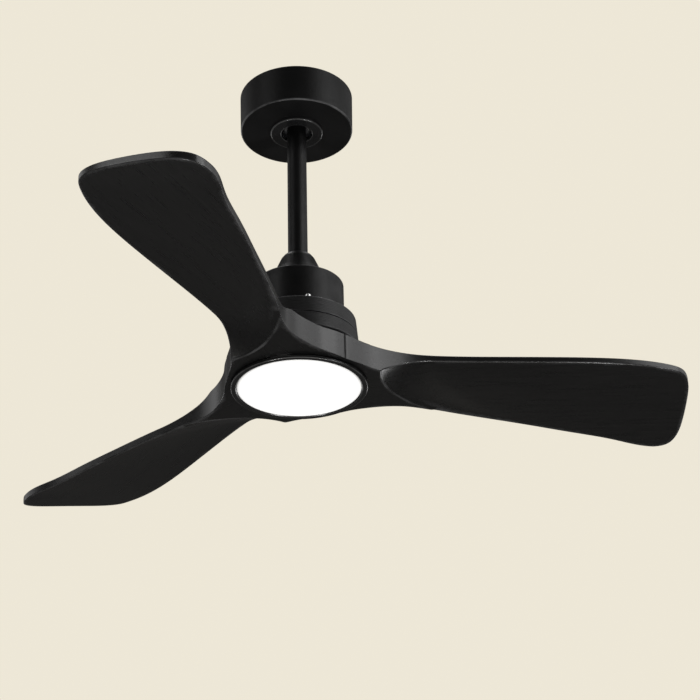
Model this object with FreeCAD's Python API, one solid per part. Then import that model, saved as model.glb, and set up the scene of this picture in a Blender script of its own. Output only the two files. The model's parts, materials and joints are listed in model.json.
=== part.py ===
import FreeCAD, Part
import math
import os

os.makedirs("parts", exist_ok=True)

# Ceiling fan with three carved blades and a round light.
# Millimetres, +Z up. The origin is on the fan's axis at the ceiling, and blade 1 points along +X.
# Heights in this file are measured up from the rim of the light, and place() turns them into Z.

# Overall sizes
DROP = 466.0             # ceiling to the rim of the light
SPAN = 1100.0            # twice the reach of a blade's tip, a 43 in class fan
BLADES = 3
BLADE_WEDGE = 360.0 / BLADES     # each blade's share of the hub, in degrees

# Canopy and hanger
CANOPY_R = 80.0
CANOPY_FOOT_R = 79.2
CANOPY_H = 56.5
CANOPY_WALL = 1.6
TRIM_R = 37.0
TRIM_HOLE_R = 22.0
TRIM_H = 3.6
BRACKET_SHEET = 2.5
BRACKET_HALF_X = 58.0
BRACKET_HALF_Y = 24.0
LEG_X = 36.5             # outer face of each bracket leg
SADDLE_LOW = -48.5
SADDLE_HIGH = -45.0
BOX_SCREW_SPACING = 88.9     # outlet box screws, 3.5 in apart
BOX_HOLE_R = 2.75
CANOPY_SCREW_X = 30.0
BALL_Z = -36.0
BALL_R = 21.0
SEAT_GAP = 0.3

# Downrod, 3/4 in pipe, and its yoke
ROD_R = 13.5
ROD_BORE_R = 10.8
ROD_FOOT = 124.0
ROD_TOP_Z = -24.0
YOKE_R = 21.0
YOKE_FOOT = 103.5
YOKE_FLANGE_R = 34.0
YOKE_FLANGE_H = 7.5
CLEVIS_LEVEL = 136.0
CLEVIS_R = 4.0
SET_SCREW_LEVEL = 129.0

# Upper housing and coupling cover
HOUSING_R = 61.4
HOUSING_WALL = 2.0
HOUSING_FOOT = 101.5
HOUSING_TOP = 154.5
HOUSING_PLATE = 3.0
COVER_FOOT_R = 42.8
COVER_SHOULDER_R = 23.4
COVER_SHOULDER = 196.0
COVER_TOP = 201.5
COVER_WALL = 1.8
COVER_LEDGE = 4.0        # how far the shoulder reaches out past the flat top
HOUSING_SCREW_R = 28.0   # circle of the screws that hold the housing on the yoke
HOUSING_SCREWS = 3

# Motor
SHAFT_R = 8.5
SHAFT_BORE_R = 5.0
SHAFT_TOP = 122.0
SHAFT_FOOT = 13.0
SHELL_TOP = 98.5
SHELL_FOOT = 53.5
SHELL_TOP_R = 77.0
SHELL_FOOT_R = 81.0
SHELL_BORE_R = 74.0
SHELL_PLATE = 4.0
PARTING_TOP = 75.2
PARTING_FOOT = 74.0
SHELL_BOSS_R = 46.0      # the lower shell stands on the blade flange with this boss
CASING_SCREW_R = 72.5
CASING_SCREW_ANGLE = -80.0
CASING_SCREWS = 3
BEARING_OUTER_R = 20.0
BEARING_W = 12.0
BEARING_PITCH_R = 14.25
BEARING_BALL_R = 3.3
BEARING_BALLS = 8
RACE_GAP = 0.3
UPPER_BEARING = 85.5
LOWER_BEARING = 54.5
CORE_FOOT = 68.5
CORE_TOP = 83.5
CORE_R = 60.0
TEETH = 12
TOOTH_HALF = 4.5
COIL_BUILD = 3.3
MAGNETS = 16
MAGNET_R = 61.0
MAGNET_T = 3.5
RING_T = 3.0

# Blades: flat at BLADE_LOW and BLADE_TOP round the hub, carved to a pitch further out
BLADE_LOW = 5.0
BLADE_TOP = 40.0
HIGH_EDGE_LOW = 29.5     # underside of the blade along its high edge
LOW_EDGE_TOP = 17.5      # top of the blade along its low edge
EDGE_LIFT = 0.9          # keeps each carved face just off the slab's own face
CAMBER = 2.5
LOW_EDGE_DROOP = 14.5    # how far the tip's low edge hangs below a straight blade
HIGH_EDGE_DROOP = 3.0
DROOP_START = 200.0
DROOP_POWER = 1.5
FLAT_END = 235.0         # past this x no part of the underside is flat
SIDE_END = 498.0         # where the sides run into the tip's rounded corners
END_SLOPE = 0.27         # and their slope in plan there
SEAM_ANGLE = -52.0
SEAM_R = 96.5
SEAM_GAP = 0.15
HUB_HOLE_R = 47.0
POCKET_R = 81.0          # the light sinks into this pocket
POCKET_TOP = 25.0
SCOOP_RUN = 70.0         # how far the underside takes to rise to its full pitch
TOP_SCOOP_RUN = 95.0
FLANGE_R = 70.0
FLANGE_T = 4.0
FLANGE_SCREW_R = 36.0
FLANGE_SCREWS = 6
SCREW_POCKET = 3.5       # depth of the counterbore for each blade screw

# Light
BEZEL_R = 90.0
BEZEL_HOLE_R = 82.2
BEZEL_TOP = 3.4
BEZEL_LOW = -0.4
PAN_SHEET = 1.2
PAN_TOP = 23.2
PAN_R = 77.5
LENS_R = 81.8
LENS_SAG = 3.6
LENS_RIM_LOW = 0.2
LENS_RIM_TOP = 2.0
SKIRT_R = 75.6
SKIRT_TOP = 8.2
LUG_R = 78.6
LUG_LOW = 6.0
LUG_TOP = 8.0
LUG_SPAN = 12.0
LUG_SLACK = 0.6
LENS_TWIST = 15.0
LUGS = 3
BOARD_SCREW_R = 46.0
BOARD_SCREWS = 3
LEAD_R = 1.3
LEAD_IN_SHAFT = 2.4      # offset of each lead from the axis inside the shaft
LEAD_IN_ROD = 7.4        # and inside the rod, where it passes beside the cross pins
LEAD_BEND = 131.0        # height where a lead has moved over to the rod's wall

Z = FreeCAD.Vector(0, 0, 1)


def vec(x, y, z=0.0):
    return FreeCAD.Vector(x, y, z)


def place(height):
    """Z of a height above the light's rim."""
    return height - DROP


def polar(radius, degrees, z=0.0):
    angle = math.radians(degrees)
    return vec(radius * math.cos(angle), radius * math.sin(angle), z)


def cylinder(radius, low, high, x=0.0, y=0.0):
    return Part.makeCylinder(radius, high - low, vec(x, y, low))


def tube(inner, outer, low, high, x=0.0, y=0.0):
    return cylinder(outer, low, high, x, y).cut(cylinder(inner, low, high, x, y))


def box(x0, x1, y0, y1, z0, z1):
    return Part.makeBox(x1 - x0, y1 - y0, z1 - z0, vec(x0, y0, z0))


def cross_rod(radius, start, end):
    run = end - start
    return Part.makeCylinder(radius, run.Length, start, run)


def turned(outline):
    """Solid of revolution about Z. The outline is (radius, z) corners."""
    corners = [vec(r, 0, z) for r, z in outline]
    face = Part.Face(Part.makePolygon(corners + corners[:1]))
    return face.revolve(vec(0, 0), Z, 360)


def circle_edges(shape, radius, z):
    found = []
    for edge in shape.Edges:
        curve = edge.Curve
        if isinstance(curve, Part.Circle):
            if abs(curve.Radius - radius) < 0.02 and abs(curve.Center.z - z) < 0.02:
                found.append(edge)
    return found


def rounded(shape, radius, *rims):
    """Round the circular rims, each given as (radius, z)."""
    edges = [edge for rim in rims for edge in circle_edges(shape, *rim)]
    return shape.makeFillet(radius, edges)


def around(shape, count, start=0.0):
    """Copies of a shape, evenly spaced about the fan's axis."""
    copies = []
    for index in range(count):
        copy = shape.copy()
        copy.rotate(vec(0, 0), Z, start + 360.0 * index / count)
        copies.append(copy)
    return copies


def sector(inner, outer, low, high, start, end):
    """Part of a tube between two angles."""
    ring = tube(inner, outer, low, high)
    slice_ = Part.makeCylinder(outer + 1, high - low, vec(0, 0, low), Z, end - start)
    slice_.rotate(vec(0, 0), Z, start)
    return ring.common(slice_)


def bolt(radius, head_r, head_h, tip, seat, x=0.0, y=0.0):
    """A round-headed screw whose head sits on top of the seat; tip and seat are Z values."""
    up = 1 if seat > tip else -1
    low, high = sorted((tip, seat))
    head_low, head_high = sorted((seat, seat + up * head_h))
    head = cylinder(head_r, head_low, head_high, x, y)
    crown = seat + up * head_h
    head = head.makeFillet(head_h * 0.45, circle_edges(head, head_r, crown))
    drive = cylinder(head_r * 0.45, *sorted((crown, crown - up * head_h * 0.5)), x, y)
    return cylinder(radius, low, high, x, y).fuse(head).cut(drive)


# ---------------------------------------------------------------- ceiling mount

def hanger_bracket():
    plate = box(-BRACKET_HALF_X, BRACKET_HALF_X, -BRACKET_HALF_Y, BRACKET_HALF_Y, -BRACKET_SHEET, 0)
    corners = [e for e in plate.Edges if abs(e.tangentAt(0).z) > 0.9]
    plate = plate.makeFillet(6, corners)
    foot_z = -CANOPY_H + CANOPY_WALL
    body = plate
    for side in (-1, 1):
        x0, x1 = sorted((side * LEG_X, side * (LEG_X - BRACKET_SHEET)))
        body = body.fuse(box(x0, x1, -18, 18, foot_z, -BRACKET_SHEET))
        x0, x1 = sorted((side * LEG_X, side * (CANOPY_SCREW_X - 6)))
        body = body.fuse(box(x0, x1, -9, 9, foot_z, foot_z + BRACKET_SHEET))
        body = body.cut(cylinder(BOX_HOLE_R, -10, 1, side * BOX_SCREW_SPACING / 2))
        body = body.cut(cylinder(2.05, foot_z - 1, foot_z + 5, side * CANOPY_SCREW_X))
    inner = LEG_X - BRACKET_SHEET
    saddle = box(-inner, inner, -22, 22, SADDLE_LOW, SADDLE_HIGH)
    saddle = saddle.cut(box(-ROD_R - 1.2, ROD_R + 1.2, -23, 0, SADDLE_LOW - 1, SADDLE_HIGH + 1))
    body = body.fuse(saddle)
    body = body.cut(Part.makeSphere(BALL_R + SEAT_GAP, vec(0, 0, BALL_Z)))
    body = body.cut(cylinder(5, -10, 1, 0, 15))
    return body.cut(cylinder(1.85, -10, 1, -50, -15)).removeSplitter()


def canopy():
    low = -CANOPY_H
    inner_top = CANOPY_R - CANOPY_WALL
    inner_foot = CANOPY_FOOT_R - CANOPY_WALL
    shell = turned([
        (TRIM_HOLE_R + 1.2, low), (CANOPY_FOOT_R, low), (CANOPY_R, 0), (inner_top, 0),
        (inner_foot, low + CANOPY_WALL), (TRIM_HOLE_R + 1.2, low + CANOPY_WALL)])
    shell = rounded(shell, 1.4, (inner_foot, low + CANOPY_WALL))
    shell = rounded(shell, 3.0, (CANOPY_FOOT_R, low))
    for side in (-1, 1):
        shell = shell.cut(cylinder(2.2, low - 1, low + 3, side * CANOPY_SCREW_X))
    return shell


def canopy_screws():
    seat = -CANOPY_H
    tip = seat + CANOPY_WALL + BRACKET_SHEET + 3
    return [bolt(2.0, 3.6, 1.4, tip, seat, side * CANOPY_SCREW_X) for side in (-1, 1)]


def canopy_trim_ring():
    top = -CANOPY_H
    low = top - TRIM_H
    ring = turned([
        (TRIM_HOLE_R, low), (TRIM_R, low), (TRIM_R, top), (TRIM_R - 2, top), (TRIM_R - 2, low + 1.6),
        (TRIM_HOLE_R + 1.2, low + 1.6), (TRIM_HOLE_R + 1.2, top + 4), (TRIM_HOLE_R, top + 4)])
    ring = rounded(ring, 1.4, (TRIM_R, low))
    return rounded(ring, 0.8, (TRIM_HOLE_R, low))


def receiver_module():
    case = box(-31, 31, -22, 4, -BRACKET_SHEET - 15, -BRACKET_SHEET)
    case = case.makeFillet(2, [e for e in case.Edges if abs(e.tangentAt(0).z) > 0.9])
    for side in (-1, 1):
        case = case.cut(box(side * 31 - 1.5, side * 31 + 1.5, -14, -4, -20, -12))
    return case


def terminal_block():
    block = box(-16, 16, 7, 21, -BRACKET_SHEET - 11, -BRACKET_SHEET)
    for index in (-1, 0, 1):
        block = block.cut(cylinder(2.2, -20, -10, index * 10, 14))
    return block.cut(cylinder(5, -5.5, 0, 0, 15))


def ground_screw():
    return bolt(1.8, 3.5, 2.2, 0, -BRACKET_SHEET, -50, -15)


# ---------------------------------------------------------------- hanger and downrod

def hanger_ball():
    ball = Part.makeSphere(BALL_R, vec(0, 0, BALL_Z))
    slab = cylinder(BALL_R + 1, BALL_Z - 15, BALL_Z + 10)
    ball = ball.common(slab).cut(cylinder(ROD_R, BALL_Z - 20, BALL_Z + 20))
    ball = ball.cut(cross_rod(3.05, vec(0, -25, BALL_Z), vec(0, 25, BALL_Z)))
    return ball.cut(cross_rod(2.55, vec(ROD_R - 1, 0, BALL_Z + 4), vec(25, 0, BALL_Z + 4)))


def ball_cross_pin():
    return cross_rod(3.0, vec(0, -18.5, BALL_Z), vec(0, 18.5, BALL_Z))


def ball_set_screw():
    screw = cross_rod(2.5, vec(ROD_R, 0, BALL_Z + 4), vec(19, 0, BALL_Z + 4))
    return screw.cut(cross_rod(1.2, vec(17, 0, BALL_Z + 4), vec(20, 0, BALL_Z + 4)))


def downrod():
    pipe = tube(ROD_BORE_R, ROD_R, place(ROD_FOOT), ROD_TOP_Z)
    pipe = pipe.cut(cross_rod(3.0, vec(0, -25, BALL_Z), vec(0, 25, BALL_Z)))
    level = place(CLEVIS_LEVEL)
    return pipe.cut(cross_rod(CLEVIS_R, vec(0, -25, level), vec(0, 25, level)))


def coupling_cover():
    foot = place(HOUSING_TOP)
    shoulder = place(COVER_SHOULDER)
    top = place(COVER_TOP)
    hole = ROD_R + 0.2
    shell = turned([
        (COVER_FOOT_R, foot), (COVER_SHOULDER_R, shoulder), (COVER_SHOULDER_R - COVER_LEDGE, top),
        (hole, top), (hole, top - COVER_WALL), (COVER_SHOULDER_R - COVER_LEDGE - 1, top - COVER_WALL),
        (COVER_SHOULDER_R - COVER_WALL, shoulder - 1), (COVER_FOOT_R - COVER_WALL, foot)])
    return rounded(shell, 2.6, (COVER_SHOULDER_R - COVER_LEDGE, top), (COVER_SHOULDER_R, shoulder))


def motor_yoke():
    flange_top = HOUSING_TOP - HOUSING_PLATE
    neck = cylinder(YOKE_R, place(YOKE_FOOT), place(flange_top))
    flange = cylinder(YOKE_FLANGE_R, place(flange_top - YOKE_FLANGE_H), place(flange_top))
    body = neck.fuse(flange).removeSplitter()
    body = body.cut(cylinder(ROD_R, place(ROD_FOOT), place(flange_top) + 1))
    body = body.cut(cylinder(SHAFT_R, place(YOKE_FOOT) - 1, place(SHAFT_TOP)))
    body = body.cut(cylinder(SHAFT_BORE_R, place(SHAFT_TOP) - 1, place(ROD_FOOT) + 1))
    level = place(CLEVIS_LEVEL)
    body = body.cut(cross_rod(CLEVIS_R + 0.05, vec(0, -30, level), vec(0, 30, level)))
    level = place(SET_SCREW_LEVEL)
    body = body.cut(cross_rod(3.05, vec(-30, 0, level), vec(30, 0, level)))
    tapped = cylinder(2.05, place(130), place(HOUSING_TOP), HOUSING_SCREW_R)
    for screw in around(tapped, HOUSING_SCREWS):
        body = body.cut(screw)
    return body


def clevis_pin():
    level = place(CLEVIS_LEVEL)
    pin = cross_rod(CLEVIS_R, vec(0, -YOKE_R, level), vec(0, YOKE_R + 7, level))
    head = cross_rod(6.0, vec(0, -YOKE_R - 2.5, level), vec(0, -YOKE_R, level))
    eye = cross_rod(1.1, vec(0, YOKE_R + 4, level - 6), vec(0, YOKE_R + 4, level + 6))
    return pin.fuse(head).cut(eye)


def hairpin_clip():
    """Wire clip: a straight leg up through the pin's eye, and a bowed leg beside the pin."""
    wire_r = 0.9
    y = YOKE_R + 4
    level = place(CLEVIS_LEVEL)
    start = vec(0, y, level + 7)
    straight_end = vec(0, y, level - 11)
    loop_foot = vec(3.5, y, level - 14.5)
    bow_start = vec(7, y, level - 11)
    bow_end = vec(6.5, y, level + 5)
    path = Part.Wire([
        Part.LineSegment(start, straight_end).toShape(),
        Part.Arc(straight_end, loop_foot, bow_start).toShape(),
        Part.LineSegment(bow_start, bow_end).toShape()])
    section = Part.Wire(Part.makeCircle(wire_r, start, Z))
    return path.makePipeShell([section], True, True)


def yoke_set_screws():
    level = place(SET_SCREW_LEVEL)
    screws = []
    for side in (-1, 1):
        screw = cross_rod(3.0, vec(side * ROD_R, 0, level), vec(side * (YOKE_R + 1.5), 0, level))
        socket = cross_rod(1.5, vec(side * (YOKE_R - 1.5), 0, level), vec(side * (YOKE_R + 2), 0, level))
        screws.append(screw.cut(socket))
    return screws


def upper_housing():
    low = place(HOUSING_FOOT)
    top = place(HOUSING_TOP)
    inner = HOUSING_R - HOUSING_WALL
    shell = turned([
        (HOUSING_R, low), (HOUSING_R, top), (ROD_R + 1, top), (ROD_R + 1, top - HOUSING_PLATE),
        (inner, top - HOUSING_PLATE), (inner, low)])
    shell = rounded(shell, 3.5, (HOUSING_R, top))
    for screw in around(cylinder(2.2, top - 10, top + 1, HOUSING_SCREW_R), HOUSING_SCREWS):
        shell = shell.cut(screw)
    return shell


def housing_screws():
    top = place(HOUSING_TOP)
    return around(bolt(2.0, 3.6, 2.4, top - 9, top, HOUSING_SCREW_R), HOUSING_SCREWS)


def motor_controller():
    top = place(HOUSING_TOP - HOUSING_PLATE)
    case = box(36, 53, -20, 20, top - 38, top)
    return case.makeFillet(2, [e for e in case.Edges if abs(e.tangentAt(0).z) > 0.9])


# ---------------------------------------------------------------- motor, still parts

def motor_shaft():
    shaft = tube(SHAFT_BORE_R, SHAFT_R, place(SHAFT_FOOT), place(SHAFT_TOP))
    groove = tube(SHAFT_R - 0.8, SHAFT_R + 1, place(LOWER_BEARING - 1.5), place(LOWER_BEARING))
    return shaft.cut(groove)


def stator_hub():
    low = place(LOWER_BEARING + BEARING_W)
    high = place(UPPER_BEARING)
    sleeve = cylinder(11.6, low, high)
    disc = cylinder(BEARING_OUTER_R, place(CORE_FOOT), place(CORE_TOP))
    return sleeve.fuse(disc).cut(cylinder(SHAFT_R, low, high)).removeSplitter()


def stator_core():
    low = place(CORE_FOOT)
    high = place(CORE_TOP)
    core = tube(BEARING_OUTER_R, 29, low, high)
    tooth = box(27, CORE_R - 2, -TOOTH_HALF, TOOTH_HALF, low, high)
    pitch = 360.0 / TEETH
    tip = sector(CORE_R - 4, CORE_R, low, high, -pitch * 0.4, pitch * 0.4)
    for arm in around(tooth.fuse(tip), TEETH):
        core = core.fuse(arm)
    return core.removeSplitter()


def stator_windings():
    low = place(CORE_FOOT)
    high = place(CORE_TOP)
    half = TOOTH_HALF + COIL_BUILD
    block = box(32, 54, -half, half, low - 5, high + 5)
    block = block.makeFillet(2.5, [e for e in block.Edges if abs(e.tangentAt(0).x) > 0.9])
    return around(block.cut(box(31, 55, -TOOTH_HALF, TOOTH_HALF, low, high)), TEETH)


def race_groove(level):
    middle = vec(0, 0, place(level + BEARING_W / 2))
    return Part.makeTorus(BEARING_PITCH_R, BEARING_BALL_R + RACE_GAP, middle)


def bearing_inner_ring(level):
    ring = tube(SHAFT_R, 12, place(level), place(level + BEARING_W))
    return ring.cut(race_groove(level))


def bearing_outer_ring(level):
    ring = tube(16.5, BEARING_OUTER_R, place(level), place(level + BEARING_W))
    return ring.cut(race_groove(level))


def bearing_balls(level):
    ball = Part.makeSphere(BEARING_BALL_R, vec(BEARING_PITCH_R, 0, place(level + BEARING_W / 2)))
    return around(ball, BEARING_BALLS)


def bearing_cage(level):
    middle = place(level + BEARING_W / 2)
    cage = tube(BEARING_PITCH_R - 0.8, BEARING_PITCH_R + 0.8, middle - 4.6, middle + 4.6)
    inner = vec(BEARING_PITCH_R - 3, 0, middle)
    outer = vec(BEARING_PITCH_R + 3, 0, middle)
    for hole in around(cross_rod(BEARING_BALL_R + 0.15, inner, outer), BEARING_BALLS):
        cage = cage.cut(hole)
    return cage


def shaft_circlip():
    ring = tube(SHAFT_R - 0.8, 11.5, place(LOWER_BEARING - 1.4), place(LOWER_BEARING) - 0.1)
    mouth = box(0, 20, -3, 3, place(LOWER_BEARING - 3), place(LOWER_BEARING))
    return ring.cut(mouth)


# ---------------------------------------------------------------- rotor

def shell_radius(height):
    share = (SHELL_TOP - height) / (SHELL_TOP - SHELL_FOOT)
    return SHELL_TOP_R + (SHELL_FOOT_R - SHELL_TOP_R) * share


def around_casing(shape):
    return around(shape, CASING_SCREWS, CASING_SCREW_ANGLE)


def casing_posts(low, high):
    return around_casing(cylinder(4.4, place(low), place(high), CASING_SCREW_R))


def casing_bores():
    return around_casing(cylinder(2.05, place(62), place(SHELL_TOP) + 1, CASING_SCREW_R))


def upper_motor_shell():
    top = place(SHELL_TOP)
    under = place(SHELL_TOP - SHELL_PLATE)
    bearing_top = place(UPPER_BEARING + BEARING_W)
    boss_foot = place(UPPER_BEARING)
    shell = turned([
        (17.5, top), (SHELL_TOP_R, top), (shell_radius(PARTING_TOP), place(PARTING_TOP)),
        (SHELL_BORE_R, place(PARTING_TOP)), (SHELL_BORE_R, under), (25, under), (25, boss_foot),
        (BEARING_OUTER_R, boss_foot), (BEARING_OUTER_R, bearing_top), (17.5, bearing_top)])
    shell = rounded(shell, 1.6, (SHELL_TOP_R, top))
    for post in casing_posts(PARTING_TOP, SHELL_TOP - 1):
        shell = shell.fuse(post)
    for bore in casing_bores():
        shell = shell.cut(bore)
    return shell


def lower_motor_shell():
    foot = place(SHELL_FOOT)
    floor = place(SHELL_FOOT + SHELL_PLATE)
    boss = place(BLADE_TOP + FLANGE_T)
    seat = place(LOWER_BEARING)
    boss_top = place(LOWER_BEARING + BEARING_W)
    parting = place(PARTING_FOOT)
    lip_r = SHELL_BORE_R + 2.2
    rib = MAGNET_R + MAGNET_T + RING_T
    shell = turned([
        (17.5, boss), (SHELL_BOSS_R, boss), (SHELL_BOSS_R, foot), (SHELL_FOOT_R, foot),
        (shell_radius(PARTING_FOOT), parting), (lip_r, parting), (lip_r, place(PARTING_TOP)),
        (SHELL_BORE_R, place(PARTING_TOP)), (SHELL_BORE_R, floor), (rib + 2.5, floor),
        (rib + 2.5, parting), (rib, parting), (rib, floor), (25, floor), (25, boss_top),
        (BEARING_OUTER_R, boss_top), (BEARING_OUTER_R, seat), (17.5, seat)])
    shell = rounded(shell, 2.2, (SHELL_FOOT_R, foot))
    for post in casing_posts(SHELL_FOOT + 1, PARTING_TOP):
        shell = shell.fuse(post)
    for bore in casing_bores():
        shell = shell.cut(bore)
    for bore in around(cylinder(2.55, boss - 1, foot + 2, FLANGE_SCREW_R), FLANGE_SCREWS):
        shell = shell.cut(bore)
    return shell


def casing_screws():
    seat = place(SHELL_TOP)
    return around_casing(bolt(2.0, 4.0, 4.6, place(63), seat, CASING_SCREW_R))


def rotor_ring():
    inner = MAGNET_R + MAGNET_T
    return tube(inner, inner + RING_T, place(SHELL_FOOT + SHELL_PLATE + 8), place(CORE_TOP + 3))


def rotor_magnets():
    pitch = 360.0 / MAGNETS
    low = place(CORE_FOOT - 1)
    high = place(CORE_TOP + 1)
    return around(sector(MAGNET_R, MAGNET_R + MAGNET_T, low, high, 0, pitch - 2.5), MAGNETS)


def blade_flange():
    low = place(BLADE_TOP)
    high = place(BLADE_TOP + FLANGE_T)
    disc = tube(17.5, FLANGE_R, low, high)
    bores = around(cylinder(2.6, low - 1, high + 1, FLANGE_SCREW_R), FLANGE_SCREWS)
    for x, y in blade_screw_spots():
        bores += around(cylinder(2.55, low - 1, high + 1, x, y), BLADES)
    for bore in bores:
        disc = disc.cut(bore)
    return disc


def flange_screws():
    seat = place(BLADE_TOP)
    screw = bolt(2.5, 4.5, 3.0, seat + 11, seat, FLANGE_SCREW_R)
    return around(screw, FLANGE_SCREWS)


# ---------------------------------------------------------------- blades

def plan_curve():
    """Plan of a blade: out along its high side, round the tip and back along its low side."""
    high_seam = polar(SEAM_R, SEAM_ANGLE)
    low_seam = polar(SEAM_R, SEAM_ANGLE + BLADE_WEDGE)
    high_side = [vec(80, -58.5), vec(104, -40.5), vec(128, -28.5), vec(155, -20.5), vec(195, -16),
                 vec(255, -14), vec(330, -12.5), vec(395, -10), vec(450, -3.5), vec(SIDE_END, 11)]
    tip = [vec(515, 21), vec(525, 40), vec(530, 72), vec(531.5, 108), vec(531, 138), vec(527, 161),
           vec(518.5, 175)]
    scale = SPAN / 2 / max(point.Length for point in tip)
    tip = [point * scale for point in tip]
    low_side = [vec(SIDE_END, 180.5), vec(440, 163.5), vec(380, 144.5), vec(315, 124), vec(255, 105),
                vec(205, 88), vec(170, 74.5), vec(142, 66), vec(118, 65), vec(92, 69), vec(70, 75.5),
                vec(51, 84)]
    curve = Part.BSplineCurve()
    curve.interpolate(
        Points=[high_seam] + high_side + tip + low_side + [low_seam],
        InitialTangent=polar(1, SEAM_ANGLE + 90),
        FinalTangent=polar(1, SEAM_ANGLE + BLADE_WEDGE + 90))
    return curve


def blade_sides(curve):
    """Points along the high side and along the low side, each in order of x."""
    first, last = curve.FirstParameter, curve.LastParameter
    steps = 1000
    samples = [curve.value(first + (last - first) * i / steps) for i in range(steps + 1)]
    tip = max(range(steps), key=lambda i: samples[i].x)
    high = [point for point in samples[:tip] if point.x <= SIDE_END]
    low = [point for point in samples[tip:] if point.x <= SIDE_END]
    return high, low[::-1]


def y_at(side, x):
    """Where a side lies at x; past its end it carries on in a straight line."""
    for before, after in zip(side, side[1:]):
        if before.x <= x <= after.x:
            share = (x - before.x) / (after.x - before.x)
            return before.y + (after.y - before.y) * share
    return side[-1].y + (x - side[-1].x) * END_SLOPE


def ease(run, length):
    """0 at the ridge, rising fast and then levelling at 1; carried on straight before the ridge."""
    share = run / length
    if share < 0:
        return 2 * share
    if share > 1:
        return 1.0
    return 1 - (1 - share) ** 2


def ridge_x(y):
    """The ridge that ends the flat underside, from its apex on the high side round to the low side."""
    share = max(0.0, (y + 33) / 113)
    return 106 + 76 * share ** 2


def top_ridge_x(y):
    share = max(0.0, (64 - y) / 113)
    return 130 + 76 * share ** 2


def carved_heights(x, y, high, low):
    """Underside and top of the blade at a point of its plan."""
    y_high = y_at(high, x)
    y_low = y_at(low, x)
    toward_high = (y_low - y) / (y_low - y_high)
    arch = CAMBER * 4 * toward_high * (1 - toward_high)
    rise = ease(x - ridge_x(y), SCOOP_RUN)
    fall = ease(x - top_ridge_x(y), TOP_SCOOP_RUN)
    under = BLADE_LOW + ((HIGH_EDGE_LOW - BLADE_LOW) * toward_high + EDGE_LIFT + arch) * rise
    drop = (BLADE_TOP - LOW_EDGE_TOP) * (1 - toward_high) + EDGE_LIFT - arch
    along = max(0.0, x - DROOP_START) / (SPAN / 2 - DROOP_START)
    droop = (LOW_EDGE_DROOP + (HIGH_EDGE_DROOP - LOW_EDGE_DROOP) * toward_high) * along ** DROOP_POWER
    return under - droop, BLADE_TOP - drop * fall - droop


def carving_surface(side):
    """Smooth surface through the carved heights; side 0 is the underside and 1 the top."""
    high, low = blade_sides(plan_curve())
    columns = [92 + 10 * i for i in range(48)]
    share_steps = [-0.3 + 0.1 * i for i in range(17)]
    grid = []
    for x in columns:
        y_high = y_at(high, x)
        y_low = y_at(low, x)
        row = []
        for share in share_steps:
            y = y_high + (y_low - y_high) * share
            row.append(vec(x, y, place(carved_heights(x, y, high, low)[side])))
        grid.append(row)
    surface = Part.BSplineSurface()
    surface.interpolate(grid)
    return surface.toShape()


def blade_screw_spots():
    """Centre lines of one blade's screws: two near the hub hole and one further out."""
    return [(54.0, -18.0), (54.0, 26.0), (64.0, 4.0)]


def blade():
    root_start = polar(HUB_HOLE_R, SEAM_ANGLE)
    root_end = polar(HUB_HOLE_R, SEAM_ANGLE + BLADE_WEDGE)
    root_middle = polar(HUB_HOLE_R, SEAM_ANGLE + BLADE_WEDGE / 2)
    curve = plan_curve()
    knots = curve.getKnots()
    edges = [curve.toShape(start, end) for start, end in zip(knots, knots[1:])]
    outline = Part.Wire(Part.sortEdges([
        Part.Arc(root_start, root_middle, root_end).toShape(),
        Part.LineSegment(root_start, curve.StartPoint).toShape(), *edges,
        Part.LineSegment(curve.EndPoint, root_end).toShape()])[0])
    slab_low = BLADE_LOW - LOW_EDGE_DROOP
    slab = Part.Face(outline).extrude(vec(0, 0, BLADE_TOP - slab_low))
    slab.translate(vec(0, 0, place(slab_low)))
    slab = slab.cut(box(0, FLAT_END, -SPAN / 2, SPAN / 2, place(slab_low) - 1, place(BLADE_LOW)))
    under = carving_surface(0).extrude(vec(0, 0, -80))
    over = carving_surface(1).extrude(vec(0, 0, 80))
    body = slab.cut(under).cut(over)
    for edge_angle in (SEAM_ANGLE, SEAM_ANGLE + BLADE_WEDGE):
        plate = box(HUB_HOLE_R - 5, SEAM_R + 5, -SEAM_GAP, SEAM_GAP, place(0), place(BLADE_TOP + 1))
        plate.rotate(vec(0, 0), Z, edge_angle)
        body = body.cut(plate)
    body = body.cut(cylinder(POCKET_R, place(BLADE_LOW) - 1, place(POCKET_TOP)))
    for x, y in blade_screw_spots():
        body = body.cut(cylinder(2.6, place(0), place(BLADE_TOP + 1), x, y))
        body = body.cut(cylinder(5.2, place(0), place(POCKET_TOP + SCREW_POCKET), x, y))
    return body


def blade_screws():
    screws = []
    seat = place(POCKET_TOP + SCREW_POCKET)
    for x, y in blade_screw_spots():
        screws += around(bolt(2.5, 4.8, 3.0, place(BLADE_TOP + FLANGE_T + 1), seat, x, y), BLADES)
    return screws


# ---------------------------------------------------------------- light

def light_pan():
    low = place(BEZEL_TOP - 0.8)
    top = place(PAN_TOP)
    inner = PAN_R - PAN_SHEET
    pan = turned([
        (SHAFT_R, top), (58, top), (PAN_R, place(10)), (PAN_R, place(BEZEL_TOP)), (87, place(BEZEL_TOP)),
        (87, low), (inner, low), (inner, place(9.4)), (57.4, top - PAN_SHEET), (SHAFT_R, top - PAN_SHEET)])
    half = LUG_SPAN / 2 + LUG_SLACK
    slot_low = place(LUG_LOW - 0.3)
    slot_top = place(LUG_TOP + 0.3)
    slot = sector(inner - 1, LUG_R + 0.4, slot_low, slot_top, -half, LENS_TWIST + half)
    entry = sector(inner - 1, LUG_R + 0.4, low - 1, slot_top - 0.3, LENS_TWIST - half, LENS_TWIST + half)
    for cut in around(slot.fuse(entry), LUGS):
        pan = pan.cut(cut)
    for bore in around(cylinder(1.55, top - 3, top + 1, BOARD_SCREW_R), BOARD_SCREWS):
        pan = pan.cut(bore)
    return pan


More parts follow.
